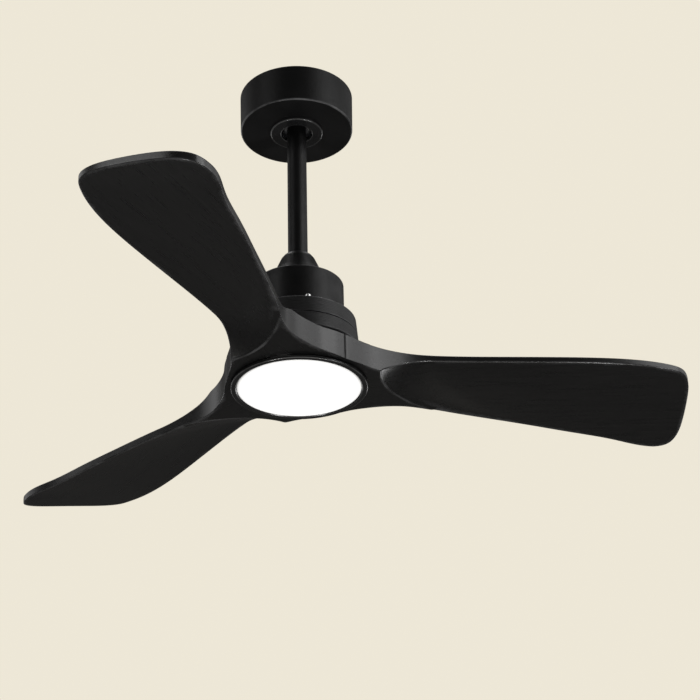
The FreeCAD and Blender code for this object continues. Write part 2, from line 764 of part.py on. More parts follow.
def hex_nut(flats, low, high):
    corners = [polar(flats / math.sqrt(3), 60 * i, low) for i in range(6)]
    face = Part.Face(Part.makePolygon(corners + corners[:1]))
    return face.extrude(vec(0, 0, high - low)).cut(cylinder(SHAFT_R, low - 1, high + 1))


def shaft_nuts():
    plate_low = place(PAN_TOP - PAN_SHEET)
    return [hex_nut(24, plate_low - 7.5, plate_low), hex_nut(24, place(PAN_TOP), place(PAN_TOP) + 6)]


def led_driver():
    case = box(17, 40, -12, 12, place(PAN_TOP), place(PAN_TOP) + 12)
    return case.makeFillet(1.5, [e for e in case.Edges if abs(e.tangentAt(0).z) > 0.9])


def led_board():
    top = place(PAN_TOP - PAN_SHEET)
    board = tube(16, 56, top - 1.6, top)
    for bore in around(cylinder(1.55, top - 3, top + 1, BOARD_SCREW_R), BOARD_SCREWS):
        board = board.cut(bore)
    return board


def led_chips():
    top = place(PAN_TOP - PAN_SHEET) - 1.6
    chips = []
    for radius, count in ((24, 8), (36, 12), (51, 20)):
        chips += around(box(radius - 1.5, radius + 1.5, -1.5, 1.5, top - 0.8, top), count, 9)
    return chips


def board_screws():
    seat = place(PAN_TOP - PAN_SHEET) - 1.6
    return around(bolt(1.5, 2.8, 1.8, place(PAN_TOP) + 1, seat, BOARD_SCREW_R), BOARD_SCREWS)


def light_bezel():
    low = place(BEZEL_LOW)
    lip = place(1.6)
    ring = turned([
        (BEZEL_HOLE_R + 1.4, low), (BEZEL_R, low), (BEZEL_R, place(BEZEL_TOP)), (87, place(BEZEL_TOP)),
        (87, lip), (BEZEL_HOLE_R, lip), (BEZEL_HOLE_R, place(0.9))])
    return rounded(ring, 1.0, (BEZEL_R, low))


def diffuser():
    """Shallow opal dish with a skirt and three bayonet lugs."""
    rim = place(LENS_RIM_LOW)
    half_chord = LENS_R - 1.0
    dome_r = (half_chord ** 2 + LENS_SAG ** 2) / (2 * LENS_SAG)
    wall = LENS_RIM_TOP - LENS_RIM_LOW
    outer = Part.makeSphere(dome_r, vec(0, 0, rim - LENS_SAG + dome_r))
    inner = Part.makeSphere(dome_r, vec(0, 0, rim - LENS_SAG + dome_r + wall))
    rim_top = place(LENS_RIM_TOP)
    dish = cylinder(LENS_R, rim - LENS_SAG - 1, rim_top).common(outer).cut(inner)
    dish = dish.fuse(tube(SKIRT_R - 2, SKIRT_R, place(1.2), place(SKIRT_TOP)))
    lug = sector(SKIRT_R - 1, LUG_R, place(LUG_LOW), place(LUG_TOP), -LUG_SPAN / 2, LUG_SPAN / 2)
    for copy in around(lug, LUGS):
        dish = dish.fuse(copy)
    return dish.removeSplitter()


def supply_leads():
    """Two wires down the hollow rod and shaft, from above the hanger ball to the light."""
    foot = vec(LEAD_IN_SHAFT, 0, place(SHAFT_FOOT + 1))
    bend_foot = vec(LEAD_IN_SHAFT, 0, place(ROD_FOOT))
    bend_top = vec(LEAD_IN_ROD, 0, place(LEAD_BEND))
    top = vec(LEAD_IN_ROD, 0, ROD_TOP_Z + 1)
    lead = cross_rod(LEAD_R, foot, bend_foot)
    for start, end in ((bend_foot, bend_top), (bend_top, top)):
        lead = lead.fuse(Part.makeSphere(LEAD_R, start)).fuse(cross_rod(LEAD_R, start, end))
    return around(lead, 2)


# ---------------------------------------------------------------- export

def save(node, shape):
    if isinstance(shape, list):
        shape = Part.makeCompound(shape)
    assert shape.isValid(), node
    shape.exportStep("parts/" + node + ".step")
    print(node, len(shape.Solids), round(shape.Volume / 1000, 2))


for maker in (
        hanger_bracket, canopy, canopy_screws, canopy_trim_ring, receiver_module, terminal_block,
        ground_screw, hanger_ball, ball_cross_pin, ball_set_screw, downrod, coupling_cover, motor_yoke,
        clevis_pin, hairpin_clip, yoke_set_screws, upper_housing, housing_screws, motor_controller,
        motor_shaft, stator_hub, stator_core, stator_windings, shaft_circlip, upper_motor_shell,
        lower_motor_shell, casing_screws, rotor_ring, rotor_magnets, blade_flange, flange_screws,
        blade_screws, light_pan, shaft_nuts, led_driver, led_board, led_chips, board_screws,
        light_bezel, diffuser, supply_leads):
    save(maker.__name__, maker())

for name, level in (("upper", UPPER_BEARING), ("lower", LOWER_BEARING)):
    save(name + "_bearing_inner_ring", bearing_inner_ring(level))
    save(name + "_bearing_outer_ring", bearing_outer_ring(level))
    save(name + "_bearing_balls", bearing_balls(level))
    save(name + "_bearing_cage", bearing_cage(level))

for index, shape in enumerate(around(blade(), BLADES)):
    save("blade_" + str(index + 1), shape)
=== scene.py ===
import json
import math

import bmesh
import bpy
import numpy as np
from mathutils import Matrix, Vector
from mathutils.geometry import delaunay_2d_cdt


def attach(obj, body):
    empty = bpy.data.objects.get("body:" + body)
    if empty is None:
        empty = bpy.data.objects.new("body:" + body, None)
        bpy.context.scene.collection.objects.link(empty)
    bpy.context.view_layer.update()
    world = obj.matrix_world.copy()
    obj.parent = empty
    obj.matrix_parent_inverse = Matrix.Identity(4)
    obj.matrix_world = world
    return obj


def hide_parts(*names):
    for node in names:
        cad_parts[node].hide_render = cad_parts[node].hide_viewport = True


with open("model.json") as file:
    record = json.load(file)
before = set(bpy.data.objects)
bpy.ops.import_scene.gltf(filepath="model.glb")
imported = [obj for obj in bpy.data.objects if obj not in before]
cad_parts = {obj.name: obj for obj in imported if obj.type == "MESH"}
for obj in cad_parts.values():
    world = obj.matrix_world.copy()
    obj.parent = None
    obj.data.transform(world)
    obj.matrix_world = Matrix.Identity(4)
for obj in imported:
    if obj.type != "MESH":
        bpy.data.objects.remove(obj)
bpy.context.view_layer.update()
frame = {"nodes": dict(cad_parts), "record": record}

# Looks for the ceiling fan. Lengths are in millimetres, and heights are measured up from the light's rim,
# as in the CAD model; spot() turns them into metres in the frame.
MM = 0.001
DROP = 466.0             # ceiling to the rim of the light
TAU = 2 * math.pi

CANOPY_R = 80.0
CANOPY_FOOT_R = 79.2     # the drum narrows a little toward its foot
CANOPY_H = 56.5
CANOPY_WALL = 1.6
TRIM_R = 37.0
TRIM_HOLE_R = 22.0
TRIM_H = 3.6
TRIM_WALL = 1.2
ROD_R = 13.5
ROD_BORE_R = 10.8
ROD_FOOT = 124.0
ROD_BELOW_CEILING = 24.0
HOUSING_R = 61.4
HOUSING_WALL = 2.0
HOUSING_PLATE = 3.0
HOUSING_FOOT = 101.5
HOUSING_TOP = 154.5
COVER_FOOT_R = 42.8
COVER_TOP = 201.5
COVER_WALL = 1.8
ROD_GAP = 0.2            # between the rod's coupling cover and the rod

SHELL_TOP = 98.5
SHELL_TOP_R = 77.0
SHELL_FOOT = 53.5
SHELL_FOOT_R = 81.0
SHELL_BORE_R = 74.0
SHELL_PLATE = 4.0
PARTING_TOP = 75.2       # the shells meet in a step between these two heights
PARTING_FOOT = 74.0
SHAFT_HOLE_R = 17.5
BEARING_R = 20.0
BEARING_WALL_R = 25.0
FLANGE_R = 70.0
FLANGE_TOP = 44.0
CASING_SCREW_R = 72.5
CASING_SCREW_ANGLE = -80.0
CASING_SCREWS = 3
POST_R = 4.4
POST_BORE_R = 2.05
SCREW_HEAD_R = 4.0
SCREW_HEAD_H = 4.6
SCREW_SHANK_R = 2.0
SCREW_TIP = 63.0
SCREW_SLOT_REACH = 2.3
SCREW_SLOT_HALF = 0.55
SCREW_SLOT_DEPTH = 2.2

BEZEL_R = 90.0
BEZEL_HOLE_R = 82.2
BEZEL_LOW = -0.4
BEZEL_TOP = 3.4
LENS_R = 81.8
LENS_SAG = 3.6
LENS_RIM_LOW = 0.2
LENS_RIM_TOP = 2.0
LENS_RINGS = 40
SKIRT_R = 75.6
SKIRT_WALL = 2.0
SKIRT_TOP = 8.2
LUGS = 3
LUG_R = 78.6
LUG_HALF_ANGLE = 6.0

BLADES = 3
BLADE_WEDGE = 360 / BLADES
SPAN = 1099.6            # a shade less than in the CAD model, to stay inside its box
BLADE_LOW = 5.0          # underside and top of the flat part round the hub
BLADE_TOP = 40.0
HIGH_EDGE_LOW = 29.5     # underside along the high side, past the ridge
LOW_EDGE_TOP = 17.5      # top along the low side, past the other ridge
EDGE_LIFT = 0.9          # carved off past the ridges even along the sides that keep their height
CAMBER = 2.5             # arch across the blade's width
LOW_EDGE_DROOP = 14.5    # how far each side has sunk at the tip
HIGH_EDGE_DROOP = 3.0
DROOP_START = 200.0
DROOP_POWER = 1.5
FLAT_END = 235.0
SIDE_END = 498.0         # the sides give way to the tip here
END_SLOPE = 0.27         # carries each side on past SIDE_END
SEAM_ANGLE = -52.0       # direction of the seam on blade 1's high side, in degrees
SEAM_R = 96.5            # the seams' outer end
SEAM_GAP = 0.15
HUB_HOLE_R = 47.0
POCKET_R = 81.0          # the hollow under the hub that takes the light
POCKET_TOP = 25.0
SCOOP_RUN = 70.0         # the carving reaches its depth over this run past the ridge
TOP_SCOOP_RUN = 95.0
CARVING_START = 92.0     # nothing is carved nearer the axis than this
FLAT_DROP = 30.0         # sinks the flat out of the way between DROOP_START and FLAT_END
RIDGE_X = 106.0          # apex of the ridge that ends the flat underside
RIDGE_Y = -33.0
TOP_RIDGE_X = 130.0      # the same on top
TOP_RIDGE_Y = 64.0
RIDGE_REACH = 76.0       # how far each ridge runs out over RIDGE_WIDTH
RIDGE_WIDTH = 113.0
RIDGE_SOFTNESS = 1.6     # width of the rounding along each carved ridge
LIP = 1.5                # extra step just past the lower ridge, as left by the carving tool
LIP_WIDTH = 2.2
LIP_FADE = 22.0
SIDE_ROUND = 1.3         # radius along the blade's sides
SEAM_ROUND = 0.15        # radius where blades butt together
WALL_BAND = 0.8          # keeps the shading of an edge off the wall beside it
SEAM_BLEND = 30.0        # run over which a side's rounding grows from the seam's
GRID_STEP = 4.0
GRID_MARGIN = GRID_STEP * 0.35    # no inner point stands nearer the border than this
OUTLINE_STEP = 2.0
RIDGE_STEP = 2.0         # spacing of the points along the closer rows
RIDGE_ROWS = (-4.2, -2.2, -0.9, 0.0, 0.7, 1.5, 2.3, 3.2, 4.4)    # those rows, as distances from a ridge
RIDGE_CLEARANCE = 5.5    # the plain grid stops this far from a ridge

LATHE_STEPS = 192
SCREW_STEPS = 40
EDGE_BAND = 0.5          # width of the extra ring beside each turned edge
RUN_STEP = 7.0
CREASE = 38.0            # angles sharper than this stay sharp, in degrees
SCREW_CREASE = 35.0
BLADE_CREASE = 42.0


def spot(x, y, height):
    """A point of the frame, in metres."""
    return Vector((x * MM, y * MM, (height - DROP) * MM))


# ---------------------------------------------------------------- materials

class Shader:
    """A material under construction: its nodes, and short calls that add and link more."""

    def __init__(self, name):
        self.material = bpy.data.materials.new(name)
        self.material.use_nodes = True
        self.tree = self.material.node_tree
        self.surface = self.tree.nodes["Principled BSDF"]
        self.place = self.add("ShaderNodeTexCoord").outputs["Object"]

    def add(self, kind, **settings):
        """A new node with the given properties."""
        node = self.tree.nodes.new(kind)
        for key, value in settings.items():
            setattr(node, key, value)
        return node

    def link(self, source, target):
        """Joins an output socket to an input socket."""
        self.tree.links.new(source, target)

    def set(self, **values):
        """Constants on the surface shader; an underscore stands for a space in a socket's name."""
        for name, value in values.items():
            self.surface.inputs[name.replace("_", " ")].default_value = value

    def stretched(self, scale, turn=0.0):
        """The object's coordinates, turned about Z and scaled along each axis."""
        turned = self.add("ShaderNodeMapping")
        turned.inputs["Rotation"].default_value = (0, 0, turn)
        self.link(self.place, turned.inputs["Vector"])
        scaled = self.add("ShaderNodeMapping")
        scaled.inputs["Scale"].default_value = scale
        self.link(turned.outputs["Vector"], scaled.inputs["Vector"])
        return scaled.outputs["Vector"]

    def noise(self, scale, detail=3.0, roughness=0.55, place=None):
        """Cloudy values from 0 to 1, mostly near 0.5."""
        node = self.add("ShaderNodeTexNoise")
        node.inputs["Scale"].default_value = scale
        node.inputs["Detail"].default_value = detail
        node.inputs["Roughness"].default_value = roughness
        self.link(place or self.place, node.inputs["Vector"])
        return node.outputs["Fac"]

    def bands(self, scale, direction="Z", distortion=0.0):
        """Even waves from 0 to 1 along one axis."""
        node = self.add("ShaderNodeTexWave", bands_direction=direction)
        node.inputs["Scale"].default_value = scale
        node.inputs["Distortion"].default_value = distortion
        self.link(self.place, node.inputs["Vector"])
        return node.outputs["Fac"]

    def ramp(self, source, low, high, low_value, high_value):
        """Maps a range of a value onto another range, clamped at both ends."""
        node = self.add("ShaderNodeMapRange")
        limits = {"From Min": low, "From Max": high, "To Min": low_value, "To Max": high_value}
        for name, value in limits.items():
            node.inputs[name].default_value = value
        self.link(source, node.inputs["Value"])
        return node.outputs["Result"]

    def mixed(self, share, low_colour, high_colour):
        """A colour between two others; each may be a colour or another socket."""
        node = self.add("ShaderNodeMix", data_type="RGBA")
        self.link(share, node.inputs["Factor"])
        for socket, colour in ((node.inputs[6], low_colour), (node.inputs[7], high_colour)):
            if isinstance(colour, tuple):
                socket.default_value = (*colour, 1)
            else:
                self.link(colour, socket)
        return node.outputs[2]

    def product(self, first, second, operation="MULTIPLY"):
        """Two values, each a socket or a number, multiplied or put through another operation."""
        node = self.add("ShaderNodeMath", operation=operation)
        for socket, value in zip(node.inputs, (first, second)):
            if isinstance(value, float):
                socket.default_value = value
            else:
                self.link(value, socket)
        return node.outputs["Value"]

    def from_axis(self):
        """Distance from the fan's axis, in metres."""
        radius = self.add("ShaderNodeVectorMath", operation="LENGTH")
        self.link(self.stretched((1, 1, 0)), radius.inputs[0])
        return radius.outputs["Value"]

    def edges(self, low=0.504, high=0.516):
        """1 along convex edges, broken up by noise, and 0 elsewhere: the mask for the painted edge
        highlights, which are partly wear, and for the edge polish.
        """
        pointiness = self.add("ShaderNodeNewGeometry").outputs["Pointiness"]
        along = self.ramp(pointiness, low, high, 0, 1)
        patches = self.ramp(self.noise(24, 4), 0.38, 0.62, 0.2, 1)
        return self.product(along, patches)

    def bumps(self, *layers):
        """Stacks bump layers, each a (height socket, depth in metres)."""
        normal = None
        for height, depth in layers:
            node = self.add("ShaderNodeBump")
            node.inputs["Distance"].default_value = depth
            self.link(height, node.inputs["Height"])
            if normal:
                self.link(normal, node.inputs["Normal"])
            normal = node.outputs["Normal"]
        self.link(normal, self.surface.inputs["Normal"])

    def colour(self, socket):
        """Sets the base colour from a socket."""
        self.link(socket, self.surface.inputs["Base Color"])

    def roughness(self, socket, polish=0.0, worn=None):
        """Sets the roughness from a socket, lowered by the polish on the edges or the worn places given."""
        if polish:
            socket = self.product(socket, self.product(worn or self.edges(), polish), "SUBTRACT")
        self.link(socket, self.surface.inputs["Roughness"])


def powder_coat(name, dark, light, shine):
    """Satin coat with fine orange peel; its edges are painted paler, a painted highlight that also stands for
    thin, worn coat.
    """
    shader = Shader(name)
    cloud = shader.noise(14, 4)
    body = shader.mixed(shader.ramp(cloud, 0.3, 0.7, 0, 1), dark, light)
    # Paler colour along the convex edges: a painted highlight, partly worn coat.
    shader.colour(shader.mixed(shader.edges(), body, (0.15, 0.15, 0.153)))
    shader.roughness(shader.ramp(shader.noise(45, 3), 0.3, 0.7, shine - 0.05, shine + 0.06), 0.26)
    shader.bumps((shader.noise(700, 2), 0.00012), (shader.noise(2600, 1), 0.00004))
    shader.set(Specular_IOR_Level=0.26)
    return shader.material


def cast_casing(name):
    """Painted casting with the fine turned lines of its side left showing."""
    shader = Shader(name)
    lines = shader.bands(125, "Z", 2.0)
    fine = shader.noise(5, 4, 0.6, shader.stretched((12.0, 12.0, 420.0)))
    dark = shader.mixed(shader.ramp(fine, 0.35, 0.65, 0, 1), (0.007, 0.007, 0.0073), (0.019, 0.019, 0.02))
    # Paler colour along the convex edges: a painted highlight, partly worn paint.
    shader.colour(shader.mixed(shader.edges(), dark, (0.1, 0.1, 0.104)))
    shader.roughness(shader.ramp(lines, 0, 1, 0.36, 0.47), 0.2)
    shader.bumps((lines, 0.00012), (fine, 0.00015), (shader.noise(900, 2), 0.00006))
    shader.set(Specular_IOR_Level=0.38)
    return shader.material


def blade_lacquer(name, turn):
    """Black satin lacquer over carved wood, whose long grain still telegraphs through."""
    shader = Shader(name)
    along = shader.stretched((3.0, 46.0, 46.0), turn)
    grain = shader.noise(5.5, 7, 0.62, along)
    pores = shader.noise(26, 3, 0.7, along)
    tone = shader.mixed(shader.ramp(grain, 0.3, 0.7, 0, 1),
                        (0.0035, 0.0035, 0.0037), (0.0065, 0.0065, 0.0067))
    past_seams = shader.ramp(shader.from_axis(), (SEAM_R + 2) * MM, (SEAM_R + 14) * MM, 0, 1)
    # Convex edges past the seams are painted paler, a painted highlight that is partly worn lacquer; the same
    # mask polishes them smoother.
    wear_and_highlight = shader.product(shader.edges(), past_seams)
    shader.colour(shader.mixed(wear_and_highlight, tone, (0.065, 0.065, 0.067)))
    shader.roughness(shader.ramp(grain, 0.25, 0.75, 0.26, 0.31), 0.14, wear_and_highlight)
    shader.bumps((grain, 0.00009), (pores, 0.00003), (shader.noise(650, 2), 0.00004))
    shader.set(Specular_IOR_Level=0.52)
    return shader.material


def moulded(name, dark, light, shine, grain=1200, depth=0.00005):
    """Smooth plastic or enamel with a very fine texture, and a painted highlight of paler colour along its
    edges, partly wear.
    """
    shader = Shader(name)
    body = shader.mixed(shader.noise(30, 4), dark, light)
    pale = tuple(0.09 + 0.91 * channel for channel in light)
    # Paler colour along the convex edges: a painted highlight, partly wear.
    shader.colour(shader.mixed(shader.edges(), body, pale))
    shader.roughness(shader.ramp(shader.noise(80, 3), 0.3, 0.7, shine - 0.03, shine + 0.03), 0.1)
    shader.bumps((shader.noise(grain, 2), depth))
    return shader.material


def metal(name, dark, light, shine, scratches=(60.0, 60.0, 900.0)):
    """Bare or plated metal with fine marks along one direction."""
    shader = Shader(name)
    marks = shader.noise(4, 5, 0.6, shader.stretched(scratches))
    shader.colour(shader.mixed(shader.ramp(marks, 0.3, 0.7, 0, 1), dark, light))
    shader.roughness(shader.ramp(marks, 0.3, 0.7, shine, shine + 0.14))
    shader.bumps((marks, 0.00005), (shader.noise(260, 3), 0.00003))
    shader.set(Metallic=1.0)
    return shader.material


def banded(name, dark, light, shine, scale, direction, depth, metallic):
    """A stack of layers or turns: laminations, coils."""
    shader = Shader(name)
    layers = shader.bands(scale, direction, 0.4)
    shader.colour(shader.mixed(layers, dark, light))
    shader.roughness(shader.ramp(shader.noise(90, 3), 0.3, 0.7, shine - 0.06, shine + 0.08))
    shader.bumps((layers, depth), (shader.noise(500, 2), 0.00004))
    shader.set(Metallic=metallic)
    return shader.material


def glowing(name, base, light, strength, rim=None):
    """A lit part; the rim is (inner radius, outer radius, share of the light left) of a greyer edge."""
    shader = Shader(name)
    shader.colour(shader.mixed(shader.noise(25, 2), tuple(0.97 * channel for channel in base), base))
    shader.roughness(shader.ramp(shader.noise(300, 2), 0.3, 0.7, 0.38, 0.46))
    shader.bumps((shader.noise(1500, 2), 0.00003))
    shader.set(Emission_Color=(*light, 1), Emission_Strength=strength)
    if rim:
        inner, outer, share = rim
        fall = shader.ramp(shader.from_axis(), inner * MM, outer * MM, 0, 1)
        dimmed = tuple(channel * share for channel in light)
        shader.link(shader.mixed(fall, light, dimmed), shader.surface.inputs["Emission Color"])
    return shader.material


MATERIALS = {
    "black_metal": powder_coat("powder_coat", (0.0035, 0.0035, 0.0037), (0.0058, 0.0058, 0.006), 0.42),
    "black_casting": cast_casing("painted_casting"),
    "cast_metal": metal("die_casting", (0.45, 0.45, 0.46), (0.6, 0.6, 0.62), 0.42, (80.0, 80.0, 80.0)),
    "black_plastic": moulded("gloss_black_plastic", (0.008, 0.008, 0.0085), (0.012, 0.012, 0.0125), 0.2),
    "grey_plastic": moulded("grey_plastic", (0.13, 0.13, 0.135), (0.17, 0.17, 0.175), 0.5),
    "white_plastic": moulded("white_plastic", (0.68, 0.68, 0.66), (0.78, 0.78, 0.76), 0.42),
    "nylon": moulded("black_nylon", (0.018, 0.018, 0.019), (0.028, 0.028, 0.03), 0.46),
    "wire_black": moulded("wire_insulation", (0.02, 0.02, 0.02), (0.03, 0.03, 0.03), 0.5),
    "zinc_steel": metal("zinc_plate", (0.3, 0.31, 0.33), (0.46, 0.47, 0.49), 0.42),
    "screw_silver": metal("nickel_plate", (0.6, 0.6, 0.6), (0.8, 0.8, 0.8), 0.2),
    "bearing_steel": metal("ground_steel", (0.55, 0.55, 0.57), (0.7, 0.7, 0.72), 0.14),
    "brass_cage": metal("pressed_brass", (0.55, 0.4, 0.16), (0.75, 0.58, 0.28), 0.3),
    "green_metal": moulded("green_paint", (0.02, 0.2, 0.05), (0.03, 0.28, 0.07), 0.35),
    "lamination": banded("electrical_steel", (0.11, 0.11, 0.12), (0.24, 0.24, 0.25), 0.45, 620, "Z",
                         0.0001, 0.8),
    "magnet": metal("ferrite", (0.07, 0.07, 0.075), (0.12, 0.12, 0.13), 0.55, (120.0, 120.0, 120.0)),
    "copper": banded("enamelled_copper", (0.38, 0.1, 0.03), (0.68, 0.27, 0.1), 0.3, 420, "Z", 0.00025, 0.9),
    "white_metal": moulded("white_enamel", (0.74, 0.74, 0.72), (0.84, 0.84, 0.82), 0.3, 900, 0.00004),
    "led_yellow": glowing("led_phosphor", (0.9, 0.75, 0.25), (1.0, 0.95, 0.85), 6.0),
    "opal_lens": glowing("opal_diffuser", (0.9, 0.9, 0.89), (1.0, 1.0, 1.0), 0.98, (73.5, 81.8, 0.15)),
    "blade_black": blade_lacquer("blade_lacquer", 0.0),
}

for part in frame["record"]["subparts"]:
    cad = frame["nodes"][part["node"]]
    cad.data.materials.clear()
    cad.data.materials.append(MATERIALS[part["material_slot"]])


# ---------------------------------------------------------------- turned pieces

def rounded_outline(corners):
    """Closed outline from (radius, height, corner rounding) corners."""
    points = []
    for index, (x, y, rounding) in enumerate(corners):
        corner = Vector((x, y))
        before = Vector(corners[index - 1][:2]) - corner
        after = Vector(corners[(index + 1) % len(corners)][:2]) - corner
        if rounding == 0:
            points.append((x, y))
            continue
        half = before.angle(after) / 2
        reach = min(rounding / math.tan(half), before.length * 0.49, after.length * 0.49)
        radius = reach * math.tan(half)
        middle = corner + (before.normalized() + after.normalized()).normalized() * (radius / math.sin(half))
        start = corner + before.normalized() * reach - middle
        end = corner + after.normalized() * reach - middle
        sweep = start.angle_signed(end)
        steps = max(2, round(abs(sweep) / math.radians(13)))
        for step in range(steps + 1):
            arm = start.copy()
            arm.rotate(Matrix.Rotation(-sweep * step / steps, 2))
            points.append(tuple(middle + arm))
    return points


def closer(outline):
    """The same outline with extra points on its long runs, so that shading stays near each edge."""
    points = []
    for start, end in zip(outline, outline[1:] + outline[:1]):
        length = math.dist(start, end)
        stops = [0.0]
        if length > 2 * EDGE_BAND:
            inner = length - 2 * EDGE_BAND
            count = math.ceil(inner / RUN_STEP)
            stops += [EDGE_BAND + inner * step / count for step in range(count + 1)]
        for stop in stops:
            share = stop / length if length else 0.0
            points.append((start[0] + (end[0] - start[0]) * share, start[1] + (end[1] - start[1]) * share))
    return points


def turned_rings(outline, steps, centre=(0.0, 0.0)):
    """Vertices and faces of a closed outline turned about an upright axis."""
    count = len(outline)
    points = []
    faces = []
    for step in range(steps):
        angle = TAU * step / steps
        for radius, height in outline:
            x = centre[0] + radius * math.cos(angle)
            y = centre[1] + radius * math.sin(angle)
            points.append(spot(x, y, height))
        ahead = (step + 1) % steps
        for index in range(count):
            after = (index + 1) % count
            faces.append((step * count + index, step * count + after,
                          ahead * count + after, ahead * count + index))
    return points, faces


def finished(name, parts, material):
    """Object from lists of vertices and faces, welded, smooth, with normals outward."""
    points = []
    faces = []
    for part_points, part_faces in parts:
        start = len(points)
        points += part_points
        faces += [tuple(start + index for index in face) for face in part_faces]
    mesh = bpy.data.meshes.new(name)
    mesh.from_pydata(points, [], faces)
    mesh.validate()
    tidy_mesh(mesh, CREASE)
    mesh.materials.append(material)
    piece = bpy.data.objects.new(name, mesh)
    bpy.context.scene.collection.objects.link(piece)
    return piece


def tidy_mesh(mesh, sharp):
    """Welds a mesh, turns its normals outward and marks creases over the sharp angle, in degrees."""
    work = bmesh.new()
    work.from_mesh(mesh)
    bmesh.ops.remove_doubles(work, verts=work.verts, dist=1e-6)
    bmesh.ops.recalc_face_normals(work, faces=work.faces)
    work.to_mesh(mesh)
    work.free()
    mesh.shade_smooth()
    mesh.set_sharp_from_angle(angle=math.radians(sharp))


def stand_for(piece, node, body):
    """Puts a detailed piece in the place of its CAD node."""
    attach(piece, body)
    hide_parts(node)
    weighted = piece.modifiers.new("even_shading", "WEIGHTED_NORMAL")
    weighted.keep_sharp = True


def turned_piece(node, body, slot, corners, extra=()):
    """Stands a turned piece for a node; extra holds smaller turned outlines and their axes."""
    parts = [turned_rings(closer(rounded_outline(corners)), LATHE_STEPS)]
    for outline, centre in extra:
        parts.append(turned_rings(rounded_outline(outline), SCREW_STEPS, centre))
    stand_for(finished("turned_" + node, parts, MATERIALS[slot]), node, body)


def ring_of(count, radius, start):
    """Evenly spaced places round the axis, from a starting angle in degrees."""
    angles = [math.radians(start + 360 * index / count) for index in range(count)]
    return [(radius * math.cos(angle), radius * math.sin(angle)) for angle in angles]


# Each outline below lists its corners as (radius, height, rounding).

CANOPY_LOW = DROP - CANOPY_H
TRIM_LOW = CANOPY_LOW - TRIM_H
TRIM_NECK_R = TRIM_HOLE_R + TRIM_WALL


def canopy_pieces():
    """The drum against the ceiling and the trim ring snapped into its hole."""
    turned_piece("canopy", "ceiling_mount", "black_metal", [
        (TRIM_NECK_R, CANOPY_LOW, 0.3), (CANOPY_FOOT_R, CANOPY_LOW, 1.8), (CANOPY_R, DROP, 0.4),
        (CANOPY_R - CANOPY_WALL, DROP, 0.3), (CANOPY_FOOT_R - CANOPY_WALL, CANOPY_LOW + CANOPY_WALL, 1.4),
        (TRIM_NECK_R, CANOPY_LOW + CANOPY_WALL, 0.3)])
    lip_r = TRIM_R - 2.0
    inside_low = TRIM_LOW + 1.6
    clip_top = CANOPY_LOW + 4.0
    turned_piece("canopy_trim_ring", "ceiling_mount", "black_plastic", [
        (TRIM_HOLE_R, TRIM_LOW, 0.9), (TRIM_R, TRIM_LOW, 1.7), (TRIM_R, CANOPY_LOW, 0.1),
        (lip_r, CANOPY_LOW, 0.1), (lip_r, inside_low, 0.6), (TRIM_NECK_R, inside_low, 0.3),
        (TRIM_NECK_R, clip_top, 0.3), (TRIM_HOLE_R, clip_top, 0.3)])


def rod_pieces():
    """The pipe, the cover over its coupling, and the housing they lead to."""
    rod_top = DROP - ROD_BELOW_CEILING
    turned_piece("downrod", "hanging_frame", "black_metal", [
        (ROD_BORE_R, ROD_FOOT, 0.3), (ROD_R, ROD_FOOT, 0.4), (ROD_R, rod_top, 0.6),
        (ROD_BORE_R, rod_top, 0.4)])
    hole_r = ROD_R + ROD_GAP
    under_top = COVER_TOP - COVER_WALL
    turned_piece("coupling_cover", "hanging_frame", "black_metal", [
        (COVER_FOOT_R, HOUSING_TOP, 0.3), (31.6, 177.0, 30.0), (23.4, 196.0, 3.2), (19.4, COVER_TOP, 2.6),
        (hole_r, COVER_TOP, 0.3), (hole_r, under_top, 0.2), (18.4, under_top, 1.0), (21.6, 195.0, 1.6),
        (29.8, 176.4, 30.0), (COVER_FOOT_R - COVER_WALL, HOUSING_TOP, 0.2)])
    plate_hole_r = 14.5
    bore_r = HOUSING_R - HOUSING_WALL
    under_plate = HOUSING_TOP - HOUSING_PLATE
    turned_piece("upper_housing", "hanging_frame", "black_metal", [
        (HOUSING_R, HOUSING_FOOT, 0.5), (HOUSING_R, HOUSING_TOP, 1.6), (plate_hole_r, HOUSING_TOP, 0.4),
        (plate_hole_r, under_plate, 0.3), (bore_r, under_plate, 1.5), (bore_r, HOUSING_FOOT, 0.4)])


CASING_SCREW_PLACES = ring_of(CASING_SCREWS, CASING_SCREW_R, CASING_SCREW_ANGLE)


